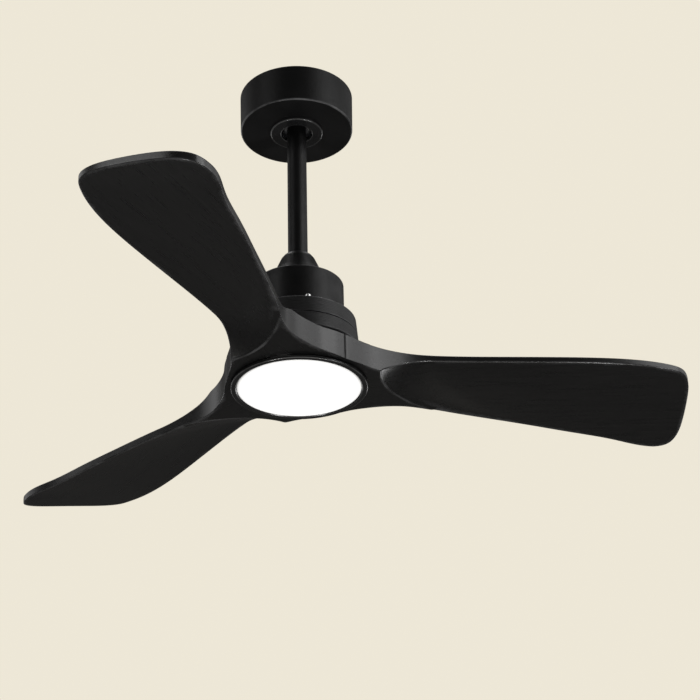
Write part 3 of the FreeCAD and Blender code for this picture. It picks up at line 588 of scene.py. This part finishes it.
def casing_pieces():
    """The motor's two shells, each with a bearing seat and the posts that the long screws pass through."""
    upper_inside = SHELL_TOP - SHELL_PLATE
    upper_lip = SHELL_TOP - 1.0
    upper_rim_r = 79.07
    upper_seat_foot = 85.5
    upper_post = [(POST_BORE_R, PARTING_TOP, 0.1), (POST_R, PARTING_TOP, 0.1),
                  (POST_R, upper_inside + 0.5, 0), (POST_BORE_R, upper_inside + 0.5, 0)]
    turned_piece("upper_motor_shell", "rotor", "black_casting", [
        (SHAFT_HOLE_R, SHELL_TOP, 0.3), (SHELL_TOP_R, SHELL_TOP, 1.6), (upper_rim_r, PARTING_TOP, 0.35),
        (SHELL_BORE_R, PARTING_TOP, 0.2), (SHELL_BORE_R, upper_inside, 0.5),
        (BEARING_WALL_R, upper_inside, 0.5), (BEARING_WALL_R, upper_seat_foot, 0.3),
        (BEARING_R, upper_seat_foot, 0.2), (BEARING_R, upper_lip, 0.2), (SHAFT_HOLE_R, upper_lip, 0.2)],
        [(upper_post, place) for place in CASING_SCREW_PLACES])

    lower_inside = SHELL_FOOT + SHELL_PLATE
    lower_lip = SHELL_FOOT + 1.0
    boss_r = 46.0
    step_r = 76.2
    lower_rim_r = 79.18
    lower_seat_top = 66.5
    rib_outer, rib_inner = 70.0, 67.5
    lower_post = [(POST_BORE_R, lower_inside - 0.5, 0), (POST_R, lower_inside - 0.5, 0),
                  (POST_R, PARTING_TOP, 0.1), (POST_BORE_R, PARTING_TOP, 0.1)]
    turned_piece("lower_motor_shell", "rotor", "black_casting", [
        (SHAFT_HOLE_R, FLANGE_TOP, 0.3), (boss_r, FLANGE_TOP, 0.3), (boss_r, SHELL_FOOT, 0.6),
        (SHELL_FOOT_R, SHELL_FOOT, 2.2), (lower_rim_r, PARTING_FOOT, 0.35), (step_r, PARTING_FOOT, 0.2),
        (step_r, PARTING_TOP, 0.2), (SHELL_BORE_R, PARTING_TOP, 0.2), (SHELL_BORE_R, lower_inside, 0.6),
        (rib_outer, lower_inside, 0.4), (rib_outer, PARTING_FOOT, 0.3), (rib_inner, PARTING_FOOT, 0.3),
        (rib_inner, lower_inside, 0.4), (BEARING_WALL_R, lower_inside, 0.5),
        (BEARING_WALL_R, lower_seat_top, 0.3), (BEARING_R, lower_seat_top, 0.2), (BEARING_R, lower_lip, 0.2),
        (SHAFT_HOLE_R, lower_lip, 0.2)],
        [(lower_post, place) for place in CASING_SCREW_PLACES])


def light_ring_and_flange():
    """The dark ring round the light, and the plate that the blades screw to."""
    turned_piece("light_bezel", "hanging_frame", "black_plastic", [
        (BEZEL_HOLE_R + 1.4, BEZEL_LOW, 0.5), (BEZEL_R, BEZEL_LOW, 1.0), (BEZEL_R, BEZEL_TOP, 0.5),
        (BEZEL_R - 3.0, BEZEL_TOP, 0.2), (BEZEL_R - 3.0, 1.6, 0.3), (BEZEL_HOLE_R, 1.6, 0.2),
        (BEZEL_HOLE_R, 0.9, 0.3)])
    turned_piece("blade_flange", "rotor", "zinc_steel", [
        (SHAFT_HOLE_R, BLADE_TOP, 0.3), (FLANGE_R, BLADE_TOP, 0.4), (FLANGE_R, FLANGE_TOP, 0.6),
        (SHAFT_HOLE_R, FLANGE_TOP, 0.3)])


canopy_pieces()
rod_pieces()
casing_pieces()
light_ring_and_flange()


def diffuser():
    """Opal dish: a shallow dome with a rounded rim, and the skirt and lugs that hold it."""
    half_chord = LENS_R - 1.0
    dome_r = (half_chord ** 2 + LENS_SAG ** 2) / (2 * LENS_SAG)
    middle = LENS_RIM_LOW - LENS_SAG + dome_r
    wall = LENS_RIM_TOP - LENS_RIM_LOW
    skirt_inner = SKIRT_R - SKIRT_WALL
    radii = [half_chord * step / LENS_RINGS for step in range(LENS_RINGS + 1)]
    under = [(r, middle - math.sqrt(dome_r ** 2 - r ** 2)) for r in radii]
    over = [(r, middle + wall - math.sqrt(dome_r ** 2 - r ** 2)) for r in reversed(radii) if r < skirt_inner]
    rim = [(LENS_R - 0.3, LENS_RIM_LOW + 0.35), (LENS_R, LENS_RIM_LOW + 0.9),
           (LENS_R - 0.2, LENS_RIM_TOP - 0.3), (LENS_R - 0.7, LENS_RIM_TOP), (SKIRT_R, LENS_RIM_TOP)]
    skirt = [(SKIRT_R, SKIRT_TOP - 0.4), (SKIRT_R - 0.4, SKIRT_TOP), (skirt_inner + 0.4, SKIRT_TOP),
             (skirt_inner, SKIRT_TOP - 0.4)]
    dish = turned_rings(under + rim + skirt + over, LATHE_STEPS)
    lugs = [lug(SKIRT_R - 0.5, LUG_R, 6.0, 8.0, 360 * index / LUGS, LUG_HALF_ANGLE) for index in range(LUGS)]
    piece = finished("opal_dish", [dish] + lugs, MATERIALS["opal_lens"])
    stand_for(piece, "diffuser", "lens")


def lug(inner, outer, low, high, middle, half_width):
    """Part of a ring, a small block with curved faces."""
    steps = 6
    section = [(inner, low), (outer - 0.3, low), (outer, low + 0.3), (outer, high - 0.3), (outer - 0.3, high),
               (inner, high)]
    points = []
    for step in range(steps + 1):
        angle = math.radians(middle - half_width + 2 * half_width * step / steps)
        points += [spot(r * math.cos(angle), r * math.sin(angle), h) for r, h in section]
    count = len(section)
    faces = [tuple(range(count)), tuple(range(steps * count, (steps + 1) * count))]
    for step in range(steps):
        for index in range(count):
            after = (index + 1) % count
            faces.append((step * count + index, step * count + after,
                          (step + 1) * count + after, (step + 1) * count + index))
    return points, faces


diffuser()


def applied(piece):
    """Bakes a piece's modifiers into its mesh."""
    bpy.context.view_layer.update()
    mesh = bpy.data.meshes.new_from_object(piece.evaluated_get(bpy.context.evaluated_depsgraph_get()))
    piece.modifiers.clear()
    piece.data = mesh


def carved_by(piece, cutters, sharp):
    """Cuts other objects out of a piece and throws the cutters away."""
    for cutter in cutters:
        cut = piece.modifiers.new("cut", "BOOLEAN")
        cut.operation = "DIFFERENCE"
        cut.solver = "EXACT"
        cut.object = cutter
    applied(piece)
    for cutter in cutters:
        bpy.data.objects.remove(cutter)
    tidy_mesh(piece.data, sharp)


def bar(x, y, half_x, half_y, low, high):
    """A plain block to cut with."""
    corners = [(x - half_x, y - half_y), (x + half_x, y - half_y), (x + half_x, y + half_y),
               (x - half_x, y + half_y)]
    points = [spot(*corner, height) for height in (low, high) for corner in corners]
    sides = [(i, (i + 1) % 4, 4 + (i + 1) % 4, 4 + i) for i in range(4)]
    return finished("cutter", [(points, [(3, 2, 1, 0), (4, 5, 6, 7)] + sides)], MATERIALS["screw_silver"])


def casing_screws():
    """Pan-head machine screws with a cross recess, standing on the casing's top."""
    top = SHELL_TOP + SCREW_HEAD_H
    screw = [(0.0, SCREW_TIP, 0), (SCREW_SHANK_R - 0.5, SCREW_TIP, 0.1),
             (SCREW_SHANK_R, SCREW_TIP + 0.8, 0.1), (SCREW_SHANK_R, SHELL_TOP, 0.1),
             (SCREW_HEAD_R, SHELL_TOP, 0.2), (SCREW_HEAD_R, SHELL_TOP + SCREW_HEAD_H * 0.6, 1.9),
             (2.2, top, 1.2), (0.0, top, 0)]
    turned = [turned_rings(rounded_outline(screw), SCREW_STEPS, place) for place in CASING_SCREW_PLACES]
    piece = finished("casing_screw_set", turned, MATERIALS["screw_silver"])
    bars = []
    for x, y in CASING_SCREW_PLACES:
        for reach in ((SCREW_SLOT_REACH, SCREW_SLOT_HALF), (SCREW_SLOT_HALF, SCREW_SLOT_REACH)):
            bars.append(bar(x, y, *reach, top - SCREW_SLOT_DEPTH, top + 1))
    carved_by(piece, bars, SCREW_CREASE)
    stand_for(piece, "casing_screws", "rotor")


casing_screws()


# ---------------------------------------------------------------- blades

def polar(radius, degrees):
    """A point of the plan from its distance and direction."""
    angle = math.radians(degrees)
    return (radius * math.cos(angle), radius * math.sin(angle))


def smooth_curve(points, start_tangent, end_tangent, step):
    """Cubic spline through the points with given end directions, as closely spaced points."""
    points = np.array(points)
    gaps = np.linalg.norm(np.diff(points, axis=0), axis=1)
    knots = np.concatenate([[0], np.cumsum(gaps)])
    count = len(points)
    system = np.zeros((count, count))
    right = np.zeros((count, 2))
    slopes = np.diff(points, axis=0) / gaps[:, None]
    system[0, 0] = system[-1, -1] = 1
    right[0] = start_tangent
    right[-1] = end_tangent
    for i in range(1, count - 1):
        system[i, i - 1:i + 2] = gaps[i], 2 * (gaps[i - 1] + gaps[i]), gaps[i - 1]
        right[i] = 3 * (gaps[i] * slopes[i - 1] + gaps[i - 1] * slopes[i])
    tangents = np.linalg.solve(system, right)
    samples = np.linspace(0, knots[-1], int(knots[-1] / step))
    span = np.clip(np.searchsorted(knots, samples, side="right") - 1, 0, count - 2)
    gap = gaps[span][:, None]
    t = ((samples - knots[span]) / gaps[span])[:, None]
    return ((2 * t ** 3 - 3 * t ** 2 + 1) * points[span] + (t ** 3 - 2 * t ** 2 + t) * gap * tangents[span]
            + (3 * t ** 2 - 2 * t ** 3) * points[span + 1] + (t ** 3 - t ** 2) * gap * tangents[span + 1])


def blade_plan():
    """Out along the high side, round the tip and back along the low side, as in the CAD model."""
    high_side = [(80, -58.5), (104, -40.5), (128, -28.5), (155, -20.5), (195, -16), (255, -14), (330, -12.5),
                 (395, -10), (450, -3.5), (SIDE_END, 11)]
    tip = np.array([(515, 21), (525, 40), (530, 72), (531.5, 108), (531, 138), (527, 161), (518.5, 175)])
    tip *= SPAN / 2 / np.linalg.norm(tip, axis=1).max()
    low_side = [(SIDE_END, 180.5), (440, 163.5), (380, 144.5), (315, 124), (255, 105), (205, 88), (170, 74.5),
                (142, 66), (118, 65), (92, 69), (70, 75.5), (51, 84)]
    points = [polar(SEAM_R, SEAM_ANGLE), *high_side, *tip, *low_side, polar(SEAM_R, SEAM_ANGLE + BLADE_WEDGE)]
    start_tangent = polar(1, SEAM_ANGLE + 90)
    end_tangent = polar(1, SEAM_ANGLE + BLADE_WEDGE + 90)
    return smooth_curve(points, start_tangent, end_tangent, OUTLINE_STEP)


PLAN = blade_plan()
TIP = int(PLAN[:, 0].argmax())
HIGH_SIDE = PLAN[:TIP][PLAN[:TIP, 0] <= SIDE_END]
LOW_SIDE = PLAN[TIP:][PLAN[TIP:, 0] <= SIDE_END][::-1]


def y_at(side, x):
    """The y of a side at x, carried on past the side's end at a fixed slope."""
    return np.interp(x, side[:, 0], side[:, 1]) + np.maximum(0, x - side[-1, 0]) * END_SLOPE


def ease(run, length):
    """From 0 to 1 over a length, steep at first and level at the end; below 0 before it starts."""
    share = run / length
    return np.where(share < 0, 2 * share, np.where(share > 1, 1.0, 1 - (1 - share) ** 2))


def ridge_x(y):
    """The ridge that ends the flat underside, from its apex on the high side round to the low side."""
    return RIDGE_X + RIDGE_REACH * np.maximum(0, (y - RIDGE_Y) / RIDGE_WIDTH) ** 2


def top_ridge_x(y):
    """The same on top, with its apex on the low side."""
    return TOP_RIDGE_X + RIDGE_REACH * np.maximum(0, (TOP_RIDGE_Y - y) / RIDGE_WIDTH) ** 2


def soft_max(first, second, width):
    """The larger of two heights, rounded over where they cross."""
    return (first + second + np.sqrt((first - second) ** 2 + width ** 2)) / 2


def blade_heights(x, y):
    """Underside and top of the blade over points of its plan."""
    y_high = y_at(HIGH_SIDE, x)
    y_low = y_at(LOW_SIDE, x)
    toward_high = (y_low - y) / (y_low - y_high)
    arch = CAMBER * 4 * toward_high * (1 - toward_high)
    past_ridge = np.maximum(0, x - ridge_x(y))
    lip = LIP * np.minimum(1, past_ridge / LIP_WIDTH) * np.exp(-past_ridge / LIP_FADE)
    rise = ease(x - ridge_x(y), SCOOP_RUN)
    fall = ease(x - top_ridge_x(y), TOP_SCOOP_RUN)
    along = np.maximum(0, x - DROOP_START) / (SPAN / 2 - DROOP_START)
    droop = (LOW_EDGE_DROOP + (HIGH_EDGE_DROOP - LOW_EDGE_DROOP) * toward_high) * along ** DROOP_POWER
    under = BLADE_LOW + ((HIGH_EDGE_LOW - BLADE_LOW) * toward_high + EDGE_LIFT + arch) * rise + lip - droop
    top = BLADE_TOP - ((BLADE_TOP - LOW_EDGE_TOP) * (1 - toward_high) + EDGE_LIFT - arch) * fall - droop
    flat = BLADE_LOW - FLAT_DROP * np.maximum(0, x - DROOP_START) / (FLAT_END - DROOP_START)
    carved = x > CARVING_START
    under = np.where(carved, soft_max(flat, under, RIDGE_SOFTNESS * 0.5), BLADE_LOW)
    top = np.where(carved, -soft_max(-top, -BLADE_TOP, RIDGE_SOFTNESS), BLADE_TOP)
    return under, top


def blade_outline():
    """Whole outline in plan, anticlockwise, with the rounding radius of the edge at each point."""
    shift = math.degrees(SEAM_GAP / SEAM_R)
    start = SEAM_ANGLE + shift
    end = SEAM_ANGLE + BLADE_WEDGE - shift
    sides = PLAN[1:-1]
    inward = np.linspace(SEAM_R - 1, HUB_HOLE_R, 26)
    arc = np.linspace(end, start, 46)[1:-1]
    seam_in = [polar(radius, end) for radius in inward]
    hole = [polar(HUB_HOLE_R, angle) for angle in arc]
    seam_out = [polar(radius, start) for radius in inward[::-1]]
    outline = np.concatenate([sides, seam_in, hole, seam_out])
    from_seam = np.minimum(np.arange(len(sides)), np.arange(len(sides))[::-1]) * OUTLINE_STEP
    blend = np.clip(from_seam / SEAM_BLEND, 0, 1)
    rounding = np.full(len(outline), SEAM_ROUND)
    rounding[:len(sides)] = SEAM_ROUND + (SIDE_ROUND - SEAM_ROUND) * blend
    return outline, rounding


def inset_directions(outline):
    """Inward direction at each outline point, lengthened at corners so that the inset stays parallel."""
    edge = np.roll(outline, -1, axis=0) - outline
    edge /= np.linalg.norm(edge, axis=1)[:, None]
    normal = np.stack([-edge[:, 1], edge[:, 0]], axis=1)
    before = np.roll(normal, 1, axis=0)
    middle = normal + before
    middle /= np.linalg.norm(middle, axis=1)[:, None]
    return middle / np.maximum(0.5, (middle * normal).sum(axis=1))[:, None]


def inside(outline, points):
    """Which points lie within a closed outline."""
    x, y = points[:, 0][:, None], points[:, 1][:, None]
    x0, y0 = outline[:, 0], outline[:, 1]
    x1, y1 = np.roll(x0, -1), np.roll(y0, -1)
    straddles = (y0 > y) != (y1 > y)
    with np.errstate(divide="ignore", invalid="ignore"):
        crossing = x0 + (y - y0) * (x1 - x0) / (y1 - y0)
    return (straddles & (x < crossing)).sum(axis=1) % 2 == 1


def inner_points(outline, margin):
    """Grid over the blade, with closer rows along the carved ridges."""
    low, high = outline.min(axis=0), outline.max(axis=0)
    columns, rows = np.meshgrid(np.arange(low[0], high[0], GRID_STEP), np.arange(low[1], high[1], GRID_STEP))
    columns = columns + (np.arange(len(columns)) % 2)[:, None] * GRID_STEP / 2
    grid = np.stack([columns.ravel(), rows.ravel()], axis=1)
    across = np.arange(low[1], high[1], RIDGE_STEP)
    ridges = []
    for ridge in (ridge_x, top_ridge_x):
        from_ridge = grid[:, 0] - ridge(grid[:, 1])
        grid = grid[np.abs(from_ridge) > RIDGE_CLEARANCE]
        for offset in RIDGE_ROWS:
            ridges.append(np.stack([ridge(across) + offset, across], axis=1))
    points = np.concatenate([grid] + ridges)
    points = points[inside(outline, points)]
    nearest = np.array([np.hypot(*(outline - point).T).min() for point in points])
    return points[nearest > margin]


def blade_mesh():
    """Vertices and faces of blade 1: rounded edge rings round a triangulated top and underside."""
    outline, rounding = blade_outline()
    inward = inset_directions(outline)
    count = len(outline)
    turns = np.radians([0, 22.5, 45, 67.5, 90])
    insets = [outline] + [outline + inward * (rounding * (1 - math.cos(turn)))[:, None] for turn in turns]
    lifts = [rounding + WALL_BAND] + [rounding * (1 - math.sin(turn)) for turn in turns]
    points = []
    for side, sign in ((0, 1), (1, -1)):
        for ring, lift in zip(insets, lifts):
            heights = blade_heights(ring[:, 0], ring[:, 1])[side] + sign * lift
            points += [spot(x, y, height) for (x, y), height in zip(ring, heights)]
    rings = len(insets)
    faces = []
    for index in range(count):
        after = (index + 1) % count
        faces.append((index, after, rings * count + after, rings * count + index))
        for ring in range(rings - 1):
            low, high = ring * count, (ring + 1) * count
            faces.append((low + after, low + index, high + index, high + after))
            low, high = low + rings * count, high + rings * count
            faces.append((low + index, low + after, high + after, high + index))
    border = insets[-1]
    fill = np.concatenate([border, inner_points(border, GRID_MARGIN)])
    flat, _, triangles, origin, _, _ = delaunay_2d_cdt(
        [Vector(point) for point in fill], [], [list(range(count))], 1, 1e-4)
    places = np.array([tuple(point) for point in flat])
    heights = blade_heights(places[:, 0], places[:, 1])
    for side in (0, 1):
        edge_start = (side * rings + rings - 1) * count
        index_of = []
        for point, height, sources in zip(places, heights[side], origin):
            on_border = [source for source in sources if source < count]
            if on_border:
                index_of.append(edge_start + on_border[0])
            else:
                index_of.append(len(points))
                points.append(spot(*point, height))
        for triangle in triangles:
            corners = [index_of[corner] for corner in triangle]
            faces.append(tuple(corners if side else corners[::-1]))
    return points, faces


def blades():
    """Three turned copies of one carved blade, each with its own grain direction."""
    first = finished("carved_blade_1", [blade_mesh()], MATERIALS["blade_black"])
    pocket = finished("cutter", [turned_rings(
        [(0, -20), (POCKET_R, -20), (POCKET_R, POCKET_TOP), (0, POCKET_TOP)], LATHE_STEPS)],
        MATERIALS["blade_black"])
    carved_by(first, [pocket], BLADE_CREASE)
    copies = [first]
    for index in range(1, BLADES):
        angle = math.radians(BLADE_WEDGE * index)
        piece = first.copy()
        piece.name = "carved_blade_" + str(index + 1)
        piece.data = first.data.copy()
        piece.data.transform(Matrix.Rotation(angle, 4, "Z"))
        bpy.context.scene.collection.objects.link(piece)
        piece.data.materials[0] = blade_lacquer("blade_lacquer_" + str(index + 1), -angle)
        copies.append(piece)
    for index, piece in enumerate(copies):
        stand_for(piece, "blade_" + str(index + 1), "rotor")


blades()


# ---------------------------------------------------------------- setting

CAMERA_PLACE = (0, -2.0975, -1.5329)
CAMERA_LENS = 92.12
CAMERA_PITCH = 28.185
CAMERA_ROLL = -1.463
CAMERA_YAW = 1.855


def camera():
    """Looks up at the fan from below and in front."""
    pitch, roll, yaw = math.radians(CAMERA_PITCH), math.radians(CAMERA_ROLL), math.radians(CAMERA_YAW)
    forward = Vector((math.sin(yaw) * math.cos(pitch), math.cos(yaw) * math.cos(pitch), math.sin(pitch)))
    level = Vector((math.cos(yaw), -math.sin(yaw), 0))
    upright = level.cross(forward)
    right = math.cos(roll) * level + math.sin(roll) * upright
    up = math.cos(roll) * upright - math.sin(roll) * level
    data = bpy.data.cameras.new("camera")
    data.sensor_width = 36.0
    data.lens = CAMERA_LENS
    view = bpy.data.objects.new("camera", data)
    turn = Matrix((right, up, -forward)).transposed().to_4x4()
    view.matrix_world = Matrix.Translation(CAMERA_PLACE) @ turn
    bpy.context.scene.collection.objects.link(view)
    bpy.context.scene.camera = view


MIDDLE = (0.0, 0.0, -0.4)
FLOOR_LEVEL = -5.0
FLOOR_R = 3.0

# Soft lamps as (name, place, what each aims at, size, watts), all but the last two placed where one face of
# the fan mirrors them toward the camera.
LAMPS = [
    ("window", (2.2, 1.5, 0.9), MIDDLE, (1.8, 1.6), 3.5),
    ("side", (2.1, -1.3, 0.85), MIDDLE, (1.6, 1.4), 18),
    ("far", (-2.3, 1.2, 0.7), MIDDLE, (2.0, 1.6), 7),
    ("left", (-2.1, -1.3, 0.85), MIDDLE, (1.2, 1.0), 7),
    ("corner", (2.4, -0.05, 0.9), MIDDLE, (1.7, 0.9), 6.5),
    ("foot", (2.0, -1.2, -1.4), MIDDLE, (0.3, 0.3), 10),
    ("scoop", (1.3, 2.4, -0.85), MIDDLE, (0.5, 0.35), 2.5),
    ("horizon", (-1.7, 2.5, -0.42), MIDDLE, (1.3, 0.7), 6),
    ("horizon", (1.7, 2.5, -0.42), MIDDLE, (1.3, 0.7), 6),
    ("low", (-0.9, -0.6, -2.2), MIDDLE, (0.3, 0.3), 12),
    ("low", (0.9, -0.6, -2.2), MIDDLE, (0.3, 0.3), 12),
    ("top", (0.0, 0.6, 2.4), MIDDLE, (2.0, 2.0), 30),
    ("floor_wash", (0.0, 0.0, -3.0), (0.0, 0.0, FLOOR_LEVEL), (4.0, 4.0), 75),
]


def lamp(name, place, target, size, power):
    """A rectangular area light that the camera doesn't see."""
    data = bpy.data.lights.new(name, "AREA")
    data.shape = "RECTANGLE"
    data.size, data.size_y = size
    data.energy = power
    piece = bpy.data.objects.new(name, data)
    piece.location = place
    piece.rotation_euler = (Vector(target) - Vector(place)).to_track_quat("-Z", "Y").to_euler()
    piece.visible_camera = False
    bpy.context.scene.collection.objects.link(piece)


def floor():
    """Plain pale disc, far enough below the ceiling to leave the views from below clear."""
    steps = 96
    points = [(x, y, FLOOR_LEVEL) for x, y in ring_of(steps, FLOOR_R, 0)]
    mesh = bpy.data.meshes.new("floor")
    mesh.from_pydata(points, [], [tuple(range(steps))])
    shader = Shader("pale_floor")
    shader.colour(shader.mixed(shader.noise(3, 2), (0.62, 0.59, 0.53), (0.66, 0.63, 0.57)))
    shader.set(Roughness=0.8)
    mesh.materials.append(shader.material)
    piece = bpy.data.objects.new("floor", mesh)
    bpy.context.scene.collection.objects.link(piece)


def surroundings():
    """Pale cream backdrop, with a dimmer surround for the object to reflect."""
    world = bpy.data.worlds.new("studio")
    world.use_nodes = True
    tree = world.node_tree
    backdrop = tree.nodes["Background"]
    backdrop.inputs["Color"].default_value = (0.85, 0.80, 0.68, 1)
    room = tree.nodes.new("ShaderNodeBackground")
    room.inputs["Color"].default_value = (1.0, 0.97, 0.92, 1)
    room.inputs["Strength"].default_value = 0.07
    seen = tree.nodes.new("ShaderNodeLightPath").outputs["Is Camera Ray"]
    choice = tree.nodes.new("ShaderNodeMixShader")
    tree.links.new(seen, choice.inputs["Fac"])
    tree.links.new(room.outputs["Background"], choice.inputs[1])
    tree.links.new(backdrop.outputs["Background"], choice.inputs[2])
    tree.links.new(choice.outputs["Shader"], tree.nodes["World Output"].inputs["Surface"])
    bpy.context.scene.world = world


camera()
floor()
surroundings()
for settings in LAMPS:
    lamp(*settings)

bpy.context.scene.view_settings.view_transform = "Standard"
